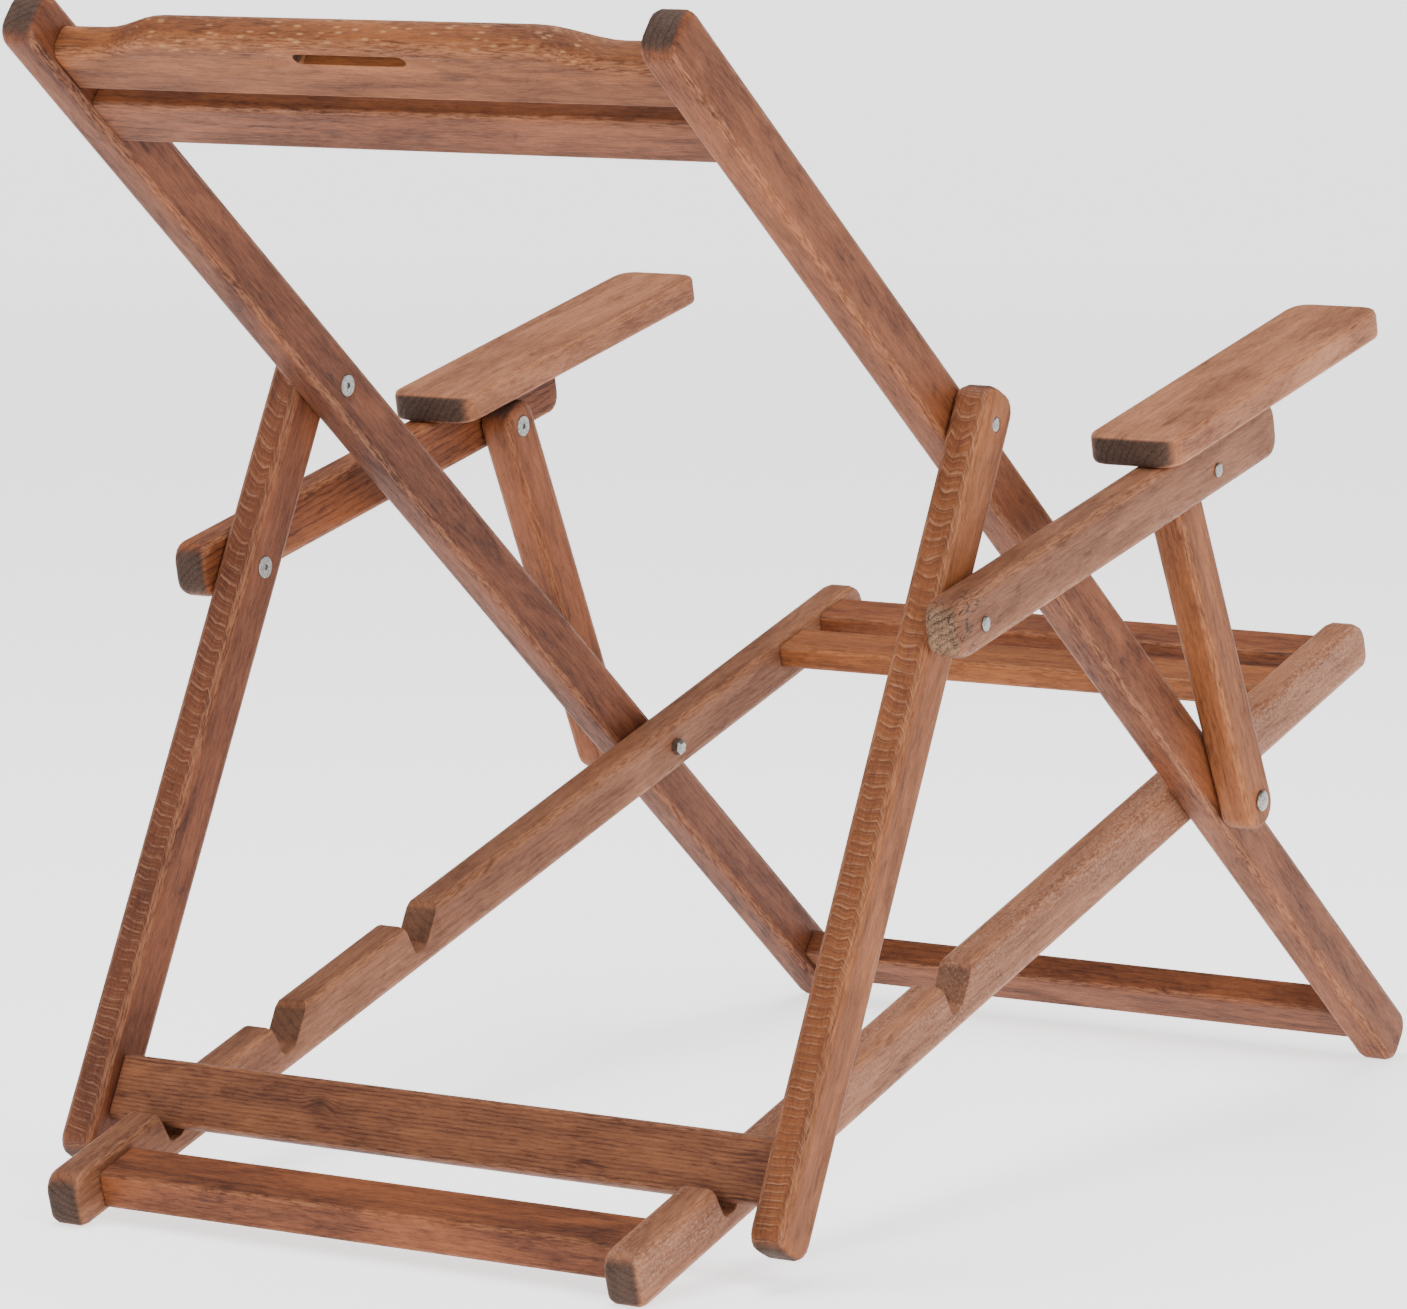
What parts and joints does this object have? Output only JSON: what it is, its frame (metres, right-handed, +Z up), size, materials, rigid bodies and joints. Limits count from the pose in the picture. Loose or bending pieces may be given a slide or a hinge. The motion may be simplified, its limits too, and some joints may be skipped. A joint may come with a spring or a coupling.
{
  "type": "folding deck chair frame",
  "caption": "Bare timber folding deck chair frame with flat armrest boards, a notched recline and through bolts at every pivot.",
  "frame": {"origin": "middle of the bounding box's bottom face, on the floor", "axes": "+X to the sitter's left, -Y the way the sitter faces, +Z up"},
  "size_m": [0.6216, 0.998, 0.7771],
  "materials": {
    "oiled_hardwood": "oiled, satin",
    "dowel_wood": "bare",
    "zinc_steel": "bright zinc"
  },
  "bodies": {
    "arm_left": {"arm_board_left": "oiled_hardwood", "arm_rail_left": "oiled_hardwood", "bolt_front_left": "zinc_steel", "dowel_board_front_left": "dowel_wood", "dowel_board_rear_left": "dowel_wood", "nut_front_left": "zinc_steel"},
    "arm_right": {"arm_board_right": "oiled_hardwood", "arm_rail_right": "oiled_hardwood", "bolt_front_right": "zinc_steel", "dowel_board_front_right": "dowel_wood", "dowel_board_rear_right": "dowel_wood", "nut_front_right": "zinc_steel"},
    "back_frame": {"back_rail_left": "oiled_hardwood", "back_rail_right": "oiled_hardwood", "bolt_hub_left": "zinc_steel", "bolt_hub_right": "zinc_steel", "bolt_leg_left": "zinc_steel", "bolt_leg_right": "zinc_steel", "crest_rail": "oiled_hardwood", "dowel_crest_left": "dowel_wood", "dowel_crest_right": "dowel_wood", "dowel_foot_rail_left": "dowel_wood", "dowel_foot_rail_right": "dowel_wood", "dowel_lower_crest_left": "dowel_wood", "dowel_lower_crest_right": "dowel_wood", "foot_rail": "oiled_hardwood", "lower_crest_bar": "oiled_hardwood", "nut_hub_left": "zinc_steel", "nut_hub_right": "zinc_steel", "nut_leg_left": "zinc_steel", "nut_leg_right": "zinc_steel"},
    "support_frame": {"bolt_arm_left": "zinc_steel", "bolt_arm_right": "zinc_steel", "dowel_support_bar_left": "dowel_wood", "dowel_support_bar_right": "dowel_wood", "nut_arm_left": "zinc_steel", "nut_arm_right": "zinc_steel", "support_bar": "oiled_hardwood", "support_leg_left": "oiled_hardwood", "support_leg_right": "oiled_hardwood"},
    "seat_frame": {"dowel_front_slat_left": "dowel_wood", "dowel_front_slat_right": "dowel_wood", "dowel_rear_rail_left": "dowel_wood", "dowel_rear_rail_right": "dowel_wood", "dowel_second_slat_left": "dowel_wood", "dowel_second_slat_right": "dowel_wood", "front_slat": "oiled_hardwood", "rear_rail": "oiled_hardwood", "seat_rail_left": "oiled_hardwood", "seat_rail_right": "oiled_hardwood", "second_slat": "oiled_hardwood"},
    "post_left": {"post_left": "oiled_hardwood", "stud_hub_left": "zinc_steel"},
    "post_right": {"post_right": "oiled_hardwood", "stud_hub_right": "zinc_steel"}
  },
  "joints": [
    {"name": "seat_frame_fold", "type": "hinge", "parent": "back_frame", "child": "seat_frame", "pos_m": [0, -0.21327, 0.22462], "axis": [1, 0, 0], "range_deg": [0, 54.1]},
    {"name": "support_frame_swing", "type": "hinge", "parent": "back_frame", "child": "support_frame", "pos_m": [0, 0.15817, 0.51016], "axis": [1, 0, 0], "range_deg": [0, 101.34]},
    {"name": "arm_left_follow", "type": "hinge", "parent": "support_frame", "child": "arm_left", "pos_m": [0, 0.21647, 0.39174], "axis": [1, 0, 0], "range_deg": [-50.97, 0]},
    {"name": "post_left_follow", "type": "hinge", "parent": "arm_left", "child": "post_left", "pos_m": [0, -0.09305, 0.46247], "axis": [1, 0, 0], "range_deg": [-76.12, 0]},
    {"name": "arm_right_follow", "type": "hinge", "parent": "support_frame", "child": "arm_right", "pos_m": [0, 0.21647, 0.39174], "axis": [1, 0, 0], "range_deg": [-50.97, 0]},
    {"name": "post_right_follow", "type": "hinge", "parent": "arm_right", "child": "post_right", "pos_m": [0, -0.09305, 0.46247], "axis": [1, 0, 0], "range_deg": [-76.12, 0]}
  ],
  "couplings": [
    {"joint": "arm_left_follow", "follows": "support_frame_swing", "ratio": -0.5024},
    {"joint": "post_left_follow", "follows": "support_frame_swing", "ratio": -0.7506},
    {"joint": "arm_right_follow", "follows": "support_frame_swing", "ratio": -0.5024},
    {"joint": "post_right_follow", "follows": "support_frame_swing", "ratio": -0.7506}
  ]
}
